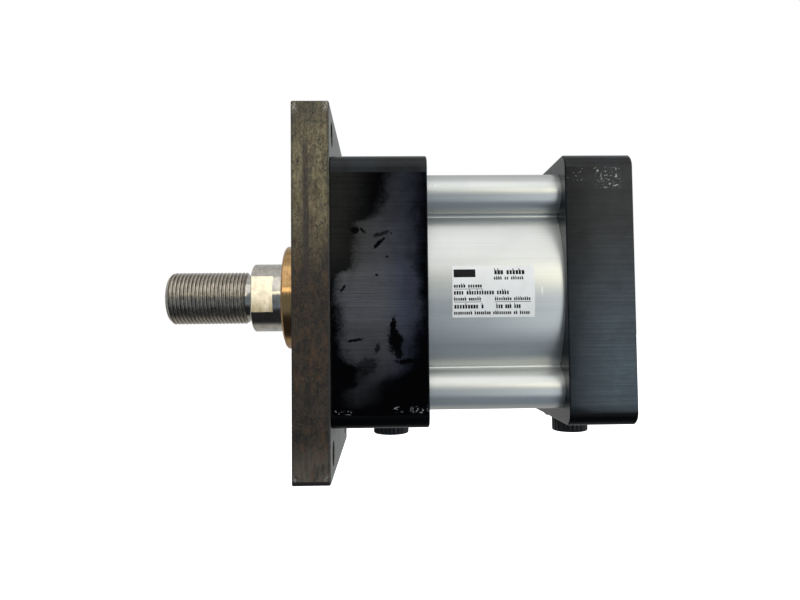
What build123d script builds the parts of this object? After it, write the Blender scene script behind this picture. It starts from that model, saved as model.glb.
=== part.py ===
from build123d import *
import os

# Tie-rod pneumatic cylinder, 4 in bore by 3/4 in stroke, with a rectangular head flange.
# X runs along the cylinder axis from the rod end (-X) to the cap end (+X), Z is the long side
# of the flange, and both ports open towards -Z.
# The origin is the centre of the flange's front mounting face. The rod is fully drawn in.

# ---------------------------------------------------------------- driving dimensions, mm
INCH = 25.4
bore_radius = 2.0 * INCH
stroke = 0.75 * INCH

flange_thick = 0.625 * INCH
flange_width = 4.5 * INCH
flange_height = 6.25 * INCH
mount_pitch_y = 3.32 * INCH
mount_pitch_z = 5.4375 * INCH
mount_hole_radius = 0.4375 * INCH / 2
hole_chamfer = 0.6

body_side = 4.5 * INCH
body_corner = 5.855
head_length = 1.6 * INCH
barrel_length = 2.275 * INCH
cap_length = 1.125 * INCH
edge_break = 0.5

barrel_radius = 2.125 * INCH
lobe_radius = 0.35 * INCH
crease_fillet = 1.0
tie_pitch = 3.32 * INCH
tie_radius = 0.375 * INCH / 2
tie_hole_radius = 5.1
nut_pocket_radius = 0.625 * INCH / 2
nut_pocket_depth = 9.8
nut_radius = 7.4
nut_length = 9.2
nut_socket_flats = 0.3125 * INCH
nut_socket_depth = 3.2

spigot_length = 6.0
fit_gap = 0.05
slack_gap = 0.3
end_gap = 0.1
o_ring_groove_width = 3.0
o_ring_groove_depth = 2.2
o_ring_section_radius = 1.05
spigot_gap = 0.1
spigot_groove_inset = 1.4

rod_radius = 1.375 * INCH / 2
neck_radius = 1.3125 * INCH / 2
neck_length = 0.625 * INCH
flats_across = 1.125 * INCH
flats_length = 10.7
flats_tilt = 4.6
thread_radius = 0.5 * INCH
thread_length = 1.625 * INCH
thread_chamfer = 1.6
relief_radius = 11.35
relief_length = 3.2
relief_fillet = 1.0
stud_radius = 0.375 * INCH
stud_groove_inset = 3.0

gland_radius = 1.0 * INCH
gland_body_radius = 24.0
gland_proud = 0.375 * INCH
gland_shoulder_radius = 31.0
gland_shoulder_length = 5.0
gland_end = 35.0
gland_groove_radius = 21.5
lip_share = 1 / 6
notch_share = 0.55
wiper_length = 4.5
rod_seal_start = 2.0
rod_seal_length = 6.0
gland_o_ring_start = 26.0
gland_chamfer = 0.8

piston_gap = 0.4
piston_radius = bore_radius - piston_gap
seal_groove_width = 5.4
seal_groove_depth = 6.0
seal_groove_inset = 2.6
band_groove_width = 6.0
band_groove_depth = 2.4
piston_nut_flats = 1.125 * INCH
piston_nut_length = 12.0
stud_tail = 2.0

recess_radius = 22.0
recess_floor_wall = 8.575

head_port_x = 41.2
cap_port_x = 130.4
port_radius = 10.4
port_depth = 18.0
passage_radius = 5.0
passage_overrun = 2.0

plug_thread_radius = 10.2
plug_thread_pitch = 0.07142857 * INCH
plug_thread_groove = 0.7
plug_thread_length = 11.0
plug_rim_radius = 12.3
plug_rim_thick = 2.4
plug_grip_radius = 8.7
plug_grip_length = 10.3
plug_rib_count = 24
plug_rib_radius = 0.6
plug_socket_flats = 0.5 * INCH
plug_socket_depth = 7.0

label_start = 66.7
label_length = 34.7
label_thick = 0.2
label_gap = 0.02
label_height = 21.6
label_centre_z = -0.7

# ---------------------------------------------------------------- stations along X
flange_back = flange_thick
head_back = flange_back + head_length
barrel_back = head_back + barrel_length
cap_back = barrel_back + cap_length
front_spigot_end = head_back + spigot_length
rear_spigot_end = barrel_back - spigot_length
spigot_radius = bore_radius - spigot_gap
recess_floor = cap_back - recess_floor_wall

piston_length = rear_spigot_end - front_spigot_end - stroke - 2 * end_gap
piston_back = rear_spigot_end - end_gap
piston_front = piston_back - piston_length
stud_end = piston_back + piston_nut_length + stud_tail
neck_front = -gland_proud - neck_length
rod_tip = neck_front - thread_length
band_start = (piston_front + piston_back - band_groove_width) / 2
front_seal_start = piston_front + seal_groove_inset
rear_seal_start = piston_back - seal_groove_inset - seal_groove_width

half_tie = tie_pitch / 2
tie_places = [(-half_tie, -half_tie), (half_tie, -half_tie), (-half_tie, half_tie), (half_tie, half_tie)]
half_mount_y = mount_pitch_y / 2
half_mount_z = mount_pitch_z / 2
mount_places = [
    (-half_mount_y, -half_mount_z),
    (half_mount_y, -half_mount_z),
    (-half_mount_y, half_mount_z),
    (half_mount_y, half_mount_z),
]
on_axis = [(0, 0)]


# ---------------------------------------------------------------- shared features
def bar(x_start, x_end, radius, places=on_axis, mode=Mode.ADD):
    """Round bar, or hole, parallel to the cylinder axis in the piece being built."""
    with BuildSketch(Plane.YZ.offset(x_start)) as section:
        with Locations(*places):
            Circle(radius)
    extrude(section.sketch, amount=x_end - x_start, mode=mode)


def mouth(x_face, inward, radius, places):
    """Small chamfer round the mouths of holes, cut from the face at x_face."""
    with BuildSketch(Plane.YZ.offset(x_face)) as wide:
        with Locations(*places):
            Circle(radius + hole_chamfer)
    with BuildSketch(Plane.YZ.offset(x_face + inward * hole_chamfer)) as narrow:
        with Locations(*places):
            Circle(radius)
    for outer, inner in zip(wide.sketch.faces(), narrow.sketch.faces()):
        loft([outer, inner], mode=Mode.SUBTRACT)


def hexagon(x_start, x_end, flats, places=on_axis, mode=Mode.ADD):
    """Hexagonal bar, or socket, parallel to the cylinder axis."""
    with BuildSketch(Plane.YZ.offset(x_start)) as section:
        with Locations(*places):
            RegularPolygon(radius=flats / 2, side_count=6, major_radius=False)
    extrude(section.sketch, amount=x_end - x_start, mode=mode)


def band(x_start, x_end, inner, outer, mode=Mode.ADD):
    """Plain ring, or ring groove, about the cylinder axis."""
    with BuildSketch(Plane.YZ.offset(x_start)) as section:
        Circle(outer)
        Circle(inner, mode=Mode.SUBTRACT)
    extrude(section.sketch, amount=x_end - x_start, mode=mode)


def o_ring(x_middle, middle_radius):
    """Round-section ring about the cylinder axis."""
    with BuildSketch(Plane.XY) as section:
        with Locations((x_middle, middle_radius)):
            Circle(o_ring_section_radius)
    revolve(section.sketch, axis=Axis.X)


def lip_seal(x_heel, x_lips, inner, outer):
    """Ring with a V notch between two lips on its pressure side."""
    lip = (outer - inner) * lip_share
    notch_x = x_lips + (x_heel - x_lips) * notch_share
    with BuildSketch(Plane.XY) as section:
        with BuildLine():
            Polyline(
                (x_heel, inner),
                (x_lips, inner),
                (x_lips, inner + lip),
                (notch_x, (inner + outer) / 2),
                (x_lips, outer - lip),
                (x_lips, outer),
                (x_heel, outer),
                close=True,
            )
        make_face()
    revolve(section.sketch, axis=Axis.X)


def end_block(x_start, x_end):
    """Square block with rounded long edges."""
    with BuildSketch(Plane.YZ.offset(x_start)) as outline:
        RectangleRounded(body_side, body_side, body_corner)
    extrude(outline.sketch, amount=x_end - x_start)


def port(x):
    """Threaded pocket in the lower face."""
    with BuildSketch(Plane.XY.offset(-body_side / 2)) as pocket:
        with Locations((x, 0)):
            Circle(port_radius)
    extrude(pocket.sketch, amount=port_depth, mode=Mode.SUBTRACT)


def passage(x, z_end):
    """Narrow way from the port's pocket up to the air space, ending at height z_end."""
    with BuildSketch(Plane.XY.offset(-body_side / 2)) as way:
        with Locations((x, 0)):
            Circle(passage_radius)
    extrude(way.sketch, amount=z_end + body_side / 2, mode=Mode.SUBTRACT)


def port_plug(x):
    """Threaded plastic plug with a rim, a ribbed grip and a hexagonal socket, pointing down."""
    face_z = -body_side / 2
    with BuildSketch(Plane.XY.offset(face_z)) as shank:
        with Locations((x, 0)):
            Circle(plug_thread_radius)
    extrude(shank.sketch, amount=plug_thread_length)
    grooves = int(plug_thread_length / plug_thread_pitch) - 1
    for index in range(grooves):
        groove_z = face_z + (index + 1) * plug_thread_pitch
        with BuildSketch(Plane.XY.offset(groove_z)) as groove:
            with Locations((x, 0)):
                Circle(plug_thread_radius)
                Circle(plug_thread_radius - plug_thread_groove, mode=Mode.SUBTRACT)
        extrude(groove.sketch, amount=plug_thread_pitch / 2, mode=Mode.SUBTRACT)
    with BuildSketch(Plane.XY.offset(face_z)) as rim:
        with Locations((x, 0)):
            Circle(plug_rim_radius)
    extrude(rim.sketch, amount=-plug_rim_thick)
    with BuildSketch(Plane.XY.offset(face_z - plug_rim_thick)) as grip:
        with Locations((x, 0)):
            Circle(plug_grip_radius - plug_rib_radius)
            with PolarLocations(plug_grip_radius - plug_rib_radius, plug_rib_count):
                Circle(plug_rib_radius)
    extrude(grip.sketch, amount=plug_rim_thick - plug_grip_length)
    with BuildSketch(Plane.XY.offset(face_z - plug_grip_length)) as socket:
        with Locations((x, 0)):
            RegularPolygon(radius=plug_socket_flats / 2, side_count=6, major_radius=False)
    extrude(socket.sketch, amount=plug_socket_depth, mode=Mode.SUBTRACT)


def is_relief_circle(edge):
    """True for the circles at the two ends of the thread's relief."""
    return abs(edge.radius - relief_radius) < fit_gap


def is_crease(corner):
    """True where the outline of the barrel's tube meets a lobe."""
    return min(abs(corner.X), abs(corner.Y)) > lobe_radius


def socket_nuts(x_inner, x_outer):
    """Four round tie-rod nuts: a threaded bore on the inner side, a hex socket on the outer."""
    outward = 1 if x_outer > x_inner else -1
    socket_x = x_outer - outward * nut_socket_depth
    bar(x_inner, x_outer, nut_radius, tie_places)
    bar(x_inner, socket_x, tie_radius + fit_gap, tie_places, Mode.SUBTRACT)
    hexagon(socket_x, x_outer, nut_socket_flats, tie_places, Mode.SUBTRACT)


# ---------------------------------------------------------------- housing
with BuildPart() as mounting_flange:
    with BuildSketch(Plane.YZ):
        Rectangle(flange_width, flange_height)
    extrude(amount=flange_thick)
    chamfer(mounting_flange.edges(), length=edge_break)
    bar(0, flange_back, mount_hole_radius, mount_places, Mode.SUBTRACT)
    bar(0, flange_back, gland_radius + fit_gap, on_axis, Mode.SUBTRACT)
    bar(0, flange_back, tie_hole_radius, tie_places, Mode.SUBTRACT)
    bar(0, nut_pocket_depth, nut_pocket_radius, tie_places, Mode.SUBTRACT)
    mouth(0, 1, nut_pocket_radius, tie_places)
mounting_flange.part.label = "mounting_flange"

with BuildPart() as head:
    end_block(flange_back, head_back)
    chamfer(head.faces().filter_by(Axis.X).edges(), length=edge_break)
    bar(head_back, front_spigot_end, spigot_radius)
    front_groove = front_spigot_end - spigot_groove_inset - o_ring_groove_width
    front_groove_end = front_groove + o_ring_groove_width
    band(front_groove, front_groove_end, spigot_radius - o_ring_groove_depth, bore_radius, Mode.SUBTRACT)
    bar(flange_back, front_spigot_end, gland_body_radius + fit_gap, on_axis, Mode.SUBTRACT)
    shoulder_pocket_end = flange_back + gland_shoulder_length + fit_gap
    bar(flange_back, shoulder_pocket_end, gland_shoulder_radius + fit_gap, on_axis, Mode.SUBTRACT)
    bar(flange_back, front_spigot_end, tie_hole_radius, tie_places, Mode.SUBTRACT)
    port(head_port_x)
    passage(head_port_x, -gland_body_radius + passage_overrun)
head.part.label = "head"

with BuildPart() as cap:
    end_block(barrel_back, cap_back)
    chamfer(cap.faces().filter_by(Axis.X).edges(), length=edge_break)
    bar(rear_spigot_end, barrel_back, spigot_radius)
    rear_groove = rear_spigot_end + spigot_groove_inset
    rear_groove_end = rear_groove + o_ring_groove_width
    band(rear_groove, rear_groove_end, spigot_radius - o_ring_groove_depth, bore_radius, Mode.SUBTRACT)
    bar(rear_spigot_end, recess_floor, recess_radius, on_axis, Mode.SUBTRACT)
    bar(rear_spigot_end, cap_back, tie_hole_radius, tie_places, Mode.SUBTRACT)
    bar(cap_back - nut_pocket_depth, cap_back, nut_pocket_radius, tie_places, Mode.SUBTRACT)
    mouth(cap_back, -1, nut_pocket_radius, tie_places)
    port(cap_port_x)
    passage(cap_port_x, -recess_radius + passage_overrun)
cap.part.label = "cap"

with BuildPart() as barrel:
    with BuildSketch(Plane.YZ.offset(head_back)) as extrusion:
        Circle(barrel_radius)
        with Locations(*tie_places):
            Circle(lobe_radius)
        creases = extrusion.vertices().filter_by(is_crease)
        fillet(creases, radius=crease_fillet)
    extrude(extrusion.sketch, amount=barrel_length)
    bar(head_back, barrel_back, bore_radius, on_axis, Mode.SUBTRACT)
    bar(head_back, barrel_back, tie_hole_radius, tie_places, Mode.SUBTRACT)
barrel.part.label = "barrel"

front_nut_inner = nut_pocket_depth
front_nut_outer = front_nut_inner - nut_length
rear_nut_inner = cap_back - nut_pocket_depth
rear_nut_outer = rear_nut_inner + nut_length

with BuildPart() as tie_rods:
    bar(front_nut_outer + nut_socket_depth, rear_nut_outer - nut_socket_depth, tie_radius, tie_places)
tie_rods.part.label = "tie_rods"

with BuildPart() as tie_rod_nuts_front:
    socket_nuts(front_nut_inner, front_nut_outer)
tie_rod_nuts_front.part.label = "tie_rod_nuts_front"

with BuildPart() as tie_rod_nuts_rear:
    socket_nuts(rear_nut_inner, rear_nut_outer)
tie_rod_nuts_rear.part.label = "tie_rod_nuts_rear"

with BuildPart() as rating_label:
    half_label = label_height / 2
    with BuildSketch(Plane.YZ.offset(label_start)):
        Circle(barrel_radius + label_gap + label_thick)
        Circle(barrel_radius + label_gap, mode=Mode.SUBTRACT)
        with Locations((-barrel_radius, label_centre_z)):
            Rectangle(barrel_radius, label_height, mode=Mode.INTERSECT)
    extrude(amount=label_length)
rating_label.part.label = "rating_label"

# ---------------------------------------------------------------- gland and its seals
with BuildPart() as rod_gland:
    bar(-gland_proud, 0, gland_radius)
    chamfer(rod_gland.faces().sort_by(Axis.X)[0].edges(), length=gland_chamfer)
    bar(0, gland_end, gland_body_radius)
    bar(flange_back, flange_back + gland_shoulder_length, gland_shoulder_radius)
    bar(-gland_proud, gland_end, rod_radius + fit_gap, on_axis, Mode.SUBTRACT)
    bar(-gland_proud, wiper_length - gland_proud, gland_groove_radius, on_axis, Mode.SUBTRACT)
    seal_pocket_end = rod_seal_start + rod_seal_length
    band(rod_seal_start, seal_pocket_end, rod_radius, gland_groove_radius, Mode.SUBTRACT)
    ring_pocket_end = gland_o_ring_start + o_ring_groove_width
    ring_floor = gland_body_radius - o_ring_groove_depth
    band(gland_o_ring_start, ring_pocket_end, ring_floor, gland_radius, Mode.SUBTRACT)
rod_gland.part.label = "rod_gland"

with BuildPart() as rod_wiper:
    wiper_heel = wiper_length - gland_proud
    lip_seal(wiper_heel, -gland_proud, rod_radius + fit_gap, gland_groove_radius - fit_gap)
rod_wiper.part.label = "rod_wiper"

with BuildPart() as rod_seal:
    lip_seal(
        rod_seal_start + end_gap,
        rod_seal_start + rod_seal_length - end_gap,
        rod_radius + fit_gap,
        gland_groove_radius - fit_gap,
    )
rod_seal.part.label = "rod_seal"

with BuildPart() as gland_o_ring:
    o_ring(gland_o_ring_start + o_ring_groove_width / 2, gland_body_radius - o_ring_groove_depth / 2)
gland_o_ring.part.label = "gland_o_ring"

with BuildPart() as barrel_seal_front:
    o_ring(front_groove + o_ring_groove_width / 2, spigot_radius - o_ring_groove_depth / 2)
barrel_seal_front.part.label = "barrel_seal_front"

with BuildPart() as barrel_seal_rear:
    o_ring(rear_groove + o_ring_groove_width / 2, spigot_radius - o_ring_groove_depth / 2)
barrel_seal_rear.part.label = "barrel_seal_rear"

# ---------------------------------------------------------------- rod and piston
with BuildPart() as piston_rod:
    bar(-gland_proud, piston_front, rod_radius)
    chamfer(piston_rod.faces().sort_by(Axis.X)[0].edges(), length=edge_break)
    bar(neck_front, -gland_proud, neck_radius)
    chamfer(piston_rod.faces().sort_by(Axis.X)[0].edges(), length=edge_break)
    with BuildSketch(Plane.YZ.offset(neck_front)):
        Circle(2 * neck_radius)
        Rectangle(flats_across, 4 * neck_radius, rotation=-flats_tilt, mode=Mode.SUBTRACT)
    extrude(amount=flats_length, mode=Mode.SUBTRACT)
    bar(neck_front - relief_length, neck_front, relief_radius)
    relief_circles = piston_rod.edges().filter_by(GeomType.CIRCLE).filter_by(is_relief_circle)
    fillet(relief_circles.sort_by(Axis.X)[-1], radius=relief_fillet)
    bar(rod_tip, neck_front - relief_length, thread_radius)
    chamfer(piston_rod.faces().sort_by(Axis.X)[0].edges(), length=thread_chamfer)
    bar(piston_front, stud_end, stud_radius)
    chamfer(piston_rod.faces().sort_by(Axis.X)[-1].edges(), length=edge_break)
    stud_groove = piston_front + stud_groove_inset
    stud_groove_end = stud_groove + o_ring_groove_width
    band(stud_groove, stud_groove_end, stud_radius - o_ring_groove_depth, rod_radius, Mode.SUBTRACT)
piston_rod.part.label = "piston_rod"

with BuildPart() as rod_o_ring:
    o_ring(stud_groove + o_ring_groove_width / 2, stud_radius - o_ring_groove_depth / 2)
rod_o_ring.part.label = "rod_o_ring"

with BuildPart() as piston:
    bar(piston_front, piston_back, piston_radius)
    chamfer(piston.faces().filter_by(Axis.X).edges(), length=edge_break)
    bar(piston_front, piston_back, stud_radius + fit_gap, on_axis, Mode.SUBTRACT)
    seal_floor = piston_radius - seal_groove_depth
    for start in (front_seal_start, rear_seal_start):
        band(start, start + seal_groove_width, seal_floor, bore_radius, Mode.SUBTRACT)
    band_end = band_start + band_groove_width
    band(band_start, band_end, piston_radius - band_groove_depth, bore_radius, Mode.SUBTRACT)
piston.part.label = "piston"

with BuildPart() as piston_nut:
    hexagon(piston_back, piston_back + piston_nut_length, piston_nut_flats)
    bar(piston_back, piston_back + piston_nut_length, stud_radius + fit_gap, on_axis, Mode.SUBTRACT)
piston_nut.part.label = "piston_nut"

seal_inner = piston_radius - seal_groove_depth + slack_gap
seal_outer = bore_radius - end_gap
with BuildPart() as piston_seal_front:
    seal_heel = front_seal_start + seal_groove_width - end_gap
    lip_seal(seal_heel, front_seal_start + end_gap, seal_inner, seal_outer)
piston_seal_front.part.label = "piston_seal_front"

with BuildPart() as piston_seal_rear:
    seal_lips = rear_seal_start + seal_groove_width - end_gap
    lip_seal(rear_seal_start + end_gap, seal_lips, seal_inner, seal_outer)
piston_seal_rear.part.label = "piston_seal_rear"

with BuildPart() as piston_wear_band:
    band_inner = piston_radius - band_groove_depth + slack_gap
    band(band_start + end_gap, band_start + band_groove_width - end_gap, band_inner, seal_outer)
piston_wear_band.part.label = "piston_wear_band"

# ---------------------------------------------------------------- port plugs
with BuildPart() as head_port_plug:
    port_plug(head_port_x)
head_port_plug.part.label = "head_port_plug"

with BuildPart() as cap_port_plug:
    port_plug(cap_port_x)
cap_port_plug.part.label = "cap_port_plug"

# ---------------------------------------------------------------- export
pieces = [
    mounting_flange,
    head,
    cap,
    barrel,
    tie_rods,
    tie_rod_nuts_front,
    tie_rod_nuts_rear,
    rating_label,
    rod_gland,
    rod_wiper,
    rod_seal,
    gland_o_ring,
    barrel_seal_front,
    barrel_seal_rear,
    piston_rod,
    rod_o_ring,
    piston,
    piston_nut,
    piston_seal_front,
    piston_seal_rear,
    piston_wear_band,
    head_port_plug,
    cap_port_plug,
]
os.makedirs("parts", exist_ok=True)
for piece in pieces:
    export_step(piece.part, f"parts/{piece.part.label}.step")
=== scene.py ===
import math
import random

import bpy
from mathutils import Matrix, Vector


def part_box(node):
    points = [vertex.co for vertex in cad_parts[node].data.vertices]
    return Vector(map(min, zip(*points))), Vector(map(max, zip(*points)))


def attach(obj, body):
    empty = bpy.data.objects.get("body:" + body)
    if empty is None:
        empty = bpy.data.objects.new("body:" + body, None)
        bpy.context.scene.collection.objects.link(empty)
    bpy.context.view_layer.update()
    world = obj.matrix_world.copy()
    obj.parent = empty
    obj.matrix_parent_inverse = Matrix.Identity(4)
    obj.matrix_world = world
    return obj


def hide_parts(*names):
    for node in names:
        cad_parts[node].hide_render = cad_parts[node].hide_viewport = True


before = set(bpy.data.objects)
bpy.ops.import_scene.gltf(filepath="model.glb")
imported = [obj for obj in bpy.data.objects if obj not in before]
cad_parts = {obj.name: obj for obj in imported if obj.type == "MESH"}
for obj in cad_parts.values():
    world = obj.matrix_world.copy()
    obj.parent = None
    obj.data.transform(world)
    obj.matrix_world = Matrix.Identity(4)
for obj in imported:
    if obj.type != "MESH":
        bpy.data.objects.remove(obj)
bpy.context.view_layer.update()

# Pneumatic cylinder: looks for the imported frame. Metres, X along the cylinder axis with the rod
# end towards -X, Z along the flange's long side. Comments and names below that say mm mean
# millimetres in the same frame.
MM = 0.001
INCH = 25.4
TURN = 2 * math.pi


# ---------------------------------------------------------------- places, from the frame
def span(node):
    """Lowest and highest corner of a CAD node, in mm."""
    low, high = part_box(node)
    return Vector(low) / MM, Vector(high) / MM


flange_back = span("mounting_flange")[1].x
half_flange = span("mounting_flange")[1].z
half_body = span("head")[1].y
cap_low, cap_high = span("cap")
barrel_start = span("barrel")[0].x
gland_tip = span("rod_gland")[0].x
rod_low, rod_high = span("piston_rod")
rod_radius = rod_high.y
piston_start = span("piston")[0].x
label_low, label_high = span("rating_label")


# ---------------------------------------------------------------- materials
def linear(red, green, blue):
    """Screen colour, 0 to 255, as the linear colour that a shader takes."""
    channels = []
    for value in (red, green, blue):
        share = value / 255
        channels.append(share / 12.92 if share <= 0.04045 else ((share + 0.055) / 1.055) ** 2.4)
    return (*channels, 1.0)


class Surface:
    """A procedural material whose patterns are placed in mm in the object's own frame."""

    def __init__(self, name, metallic=0.0, **uniform):
        self.material = bpy.data.materials.new(name)
        self.material.use_nodes = True
        self.tree = self.material.node_tree
        self.shader = self.tree.nodes["Principled BSDF"]
        self.shader.inputs["Metallic"].default_value = metallic
        for socket, value in uniform.items():
            self.shader.inputs[socket.replace("_", " ")].default_value = value
        coordinates = self.add("ShaderNodeTexCoord")
        self.place = self.vector("SCALE", coordinates.outputs["Object"], scale=1 / MM)
        self.x, self.y, self.z = self.split(self.place)
        self.nx, self.ny, self.nz = self.split(coordinates.outputs["Normal"])
        self.height = None

    def add(self, kind, **inputs):
        node = self.tree.nodes.new(kind)
        for socket, value in inputs.items():
            self.feed(node.inputs[socket.replace("_", " ")], value)
        return node

    def feed(self, socket, value):
        if isinstance(value, bpy.types.NodeSocket):
            self.tree.links.new(value, socket)
        else:
            socket.default_value = value

    def split(self, vector):
        node = self.add("ShaderNodeSeparateXYZ", Vector=vector)
        return node.outputs["X"], node.outputs["Y"], node.outputs["Z"]

    def vector(self, operation, first, second=None, scale=None):
        node = self.tree.nodes.new("ShaderNodeVectorMath")
        node.operation = operation
        self.feed(node.inputs[0], first)
        if second is not None:
            self.feed(node.inputs[1], second)
        if scale is not None:
            self.feed(node.inputs["Scale"], scale)
        return node.outputs["Vector"]

    def math(self, operation, first, second=0.0, clamp=False):
        node = self.tree.nodes.new("ShaderNodeMath")
        node.operation = operation
        node.use_clamp = clamp
        self.feed(node.inputs[0], first)
        self.feed(node.inputs[1], second)
        return node.outputs[0]

    def plus(self, first, second):
        return self.math("ADD", first, second)

    def minus(self, first, second):
        return self.math("SUBTRACT", first, second)

    def times(self, first, *others):
        for other in others:
            first = self.math("MULTIPLY", first, other)
        return first

    def highest(self, first, *others):
        for other in others:
            first = self.math("MAXIMUM", first, other)
        return first

    def absolute(self, value):
        return self.math("ABSOLUTE", value)

    def from_axis(self):
        """Distance from the cylinder axis, in mm."""
        return self.math("SQRT", self.plus(self.times(self.y, self.y), self.times(self.z, self.z)))

    def ramp(self, value, start, end, low=0.0, high=1.0):
        """Smooth step of value: low at start, high at end."""
        node = self.tree.nodes.new("ShaderNodeMapRange")
        node.interpolation_type = "SMOOTHSTEP"
        for index, number in enumerate((value, start, end, low, high)):
            self.feed(node.inputs[index], number)
        return node.outputs["Result"]

    def noise(self, size, detail=3.0, rough=0.55, shift=0.0, warp=0.0):
        """Noise from 0 to 1 whose features are about size mm, a number or one for each axis."""
        sizes = size if isinstance(size, tuple) else (size, size, size)
        place = self.vector("MULTIPLY", self.place, [1 / value for value in sizes])
        place = self.vector("ADD", place, (shift, shift * 1.7, -shift))
        node = self.add("ShaderNodeTexNoise", Vector=place, Scale=1.0, Detail=detail, Roughness=rough)
        node.inputs["Distortion"].default_value = warp
        return node.outputs["Fac"]

    def sway(self, pattern, width):
        """A pattern from 0 to 1 as one from minus to plus half of width."""
        return self.times(self.minus(pattern, 0.5), width)

    def specks(self, size, share, spread, stretch=(1.0, 1.0, 1.0), shift=0.0):
        """1 inside small separate specks on a share of the cells, each cell about size mm wide.

        stretch lengthens the cells along each axis, and spread is a speck's radius in cells.
        """
        place = self.vector("MULTIPLY", self.place, [1 / (size * value) for value in stretch])
        place = self.vector("ADD", place, (shift, shift, shift))
        node = self.add("ShaderNodeTexVoronoi", Vector=place, Scale=1.0)
        chosen = self.math("LESS_THAN", self.split(node.outputs["Color"])[0], share)
        return self.times(self.ramp(node.outputs["Distance"], spread, spread * 0.55), chosen)

    def mix(self, factor, first, second):
        node = self.tree.nodes.new("ShaderNodeMix")
        node.data_type = "RGBA"
        self.feed(node.inputs["Factor"], factor)
        self.feed(node.inputs[6], first)
        self.feed(node.inputs[7], second)
        return node.outputs[2]

    def blend(self, factor, first, second):
        """Number between first and second."""
        node = self.tree.nodes.new("ShaderNodeMix")
        node.data_type = "FLOAT"
        for index, value in ((0, factor), (2, first), (3, second)):
            self.feed(node.inputs[index], value)
        return node.outputs[0]

    def colour(self, value):
        self.feed(self.shader.inputs["Base Color"], value)

    def roughness(self, value):
        self.feed(self.shader.inputs["Roughness"], value)

    def bump(self, height, depth):
        """Adds relief: height from 0 to 1 over depth mm."""
        node = self.add("ShaderNodeBump", Height=height, Distance=depth * MM, Strength=1.0)
        if self.height is not None:
            self.tree.links.new(self.height, node.inputs["Normal"])
        self.height = node.outputs["Normal"]
        self.feed(self.shader.inputs["Normal"], self.height)

    def edge(self, value, where, reach):
        """1 where value is within reach mm of a place, falling to 0."""
        return self.ramp(self.absolute(self.minus(value, where)), reach, 0.0)

    def course(self, value, points):
        """Smooth curve through (value, result) points, held level past both ends."""
        firsts = [point[0] for point in points]
        results = [point[1] for point in points]
        low, reach = min(firsts), max(firsts) - min(firsts)
        least, rise = min(results), max(results) - min(results)
        node = self.add("ShaderNodeFloatCurve")
        line = node.mapping.curves[0]
        places = sorted(((first - low) / reach, (result - least) / rise) for first, result in points)
        line.points[0].location, line.points[1].location = places[0], places[-1]
        for place in places[1:-1]:
            line.points.new(*place)
        node.mapping.update()
        self.feed(node.inputs["Value"], self.math("DIVIDE", self.minus(value, low), reach, clamp=True))
        return self.plus(self.times(node.outputs["Value"], rise), least)

    def spot(self, across, up, half_width, half_height, tilt, soft, wobble):
        """1 inside a tilted patch on a face, given two coordinates, with a wavy soft outline."""
        turn = math.radians(tilt)
        along = self.plus(self.times(across, math.cos(turn)), self.times(up, math.sin(turn)))
        over = self.minus(self.times(up, math.cos(turn)), self.times(across, math.sin(turn)))
        first = self.math("POWER", self.times(self.absolute(along), 1 / half_width), 2.0)
        second = self.math("POWER", self.times(self.absolute(over), 1 / half_height), 2.0)
        reach = self.plus(self.math("SQRT", self.plus(first, second)), wobble)
        return self.ramp(reach, 1.0 + soft, 1.0 - soft)


# Patterns on the near faces of the two black blocks, in mm. A band is the height of the rounded edge
# above or below such a face. The veil is a painted sheen, a lighter colour that stands in for the
# reflection of the front light; its borders are (z, x) points, and its amount is (z, share) points.
# A gap is (x, z, half width, half height, tilt in degrees, share of the painted sheen left out). A box
# of nicks is (low x, high x, low z, high z, threshold), and a higher threshold leaves fewer nicks.
foot_band = 5.8
head_top_band = 8.1
cap_top_band = 6.0
head_veil_left = (
    (-47.0, 21.5), (-42.0, 22.0), (-36.7, 28.0), (-33.3, 28.0), (-29.9, 23.0), (-25.5, 20.5), (-17.8, 20.0),
    (-8.1, 18.6), (4.3, 17.6), (7.6, 21.0), (11.3, 25.0), (19.6, 24.9), (27.6, 25.2), (29.4, 30.6),
    (34.6, 35.4), (41.6, 38.2), (49.1, 39.4),
)
head_veil_right = (
    (-47.0, 33.5), (-38.5, 38.5), (-35.0, 45.0), (-31.0, 49.5), (-22.7, 51.0), (-15.0, 53.5), (-7.0, 54.0),
    (0.0, 52.5), (17.0, 53.0), (30.0, 53.5), (41.0, 54.5), (52.0, 55.0),
)
head_veil_amount = (
    (-49.0, 0.0), (-46.0, 0.12), (-38.0, 0.24), (-32.0, 0.38), (-25.0, 0.50), (-14.0, 0.74), (-4.0, 0.92),
    (2.0, 0.92), (14.0, 0.60), (25.0, 0.46), (40.0, 0.32), (52.0, 0.28),
)
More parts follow.
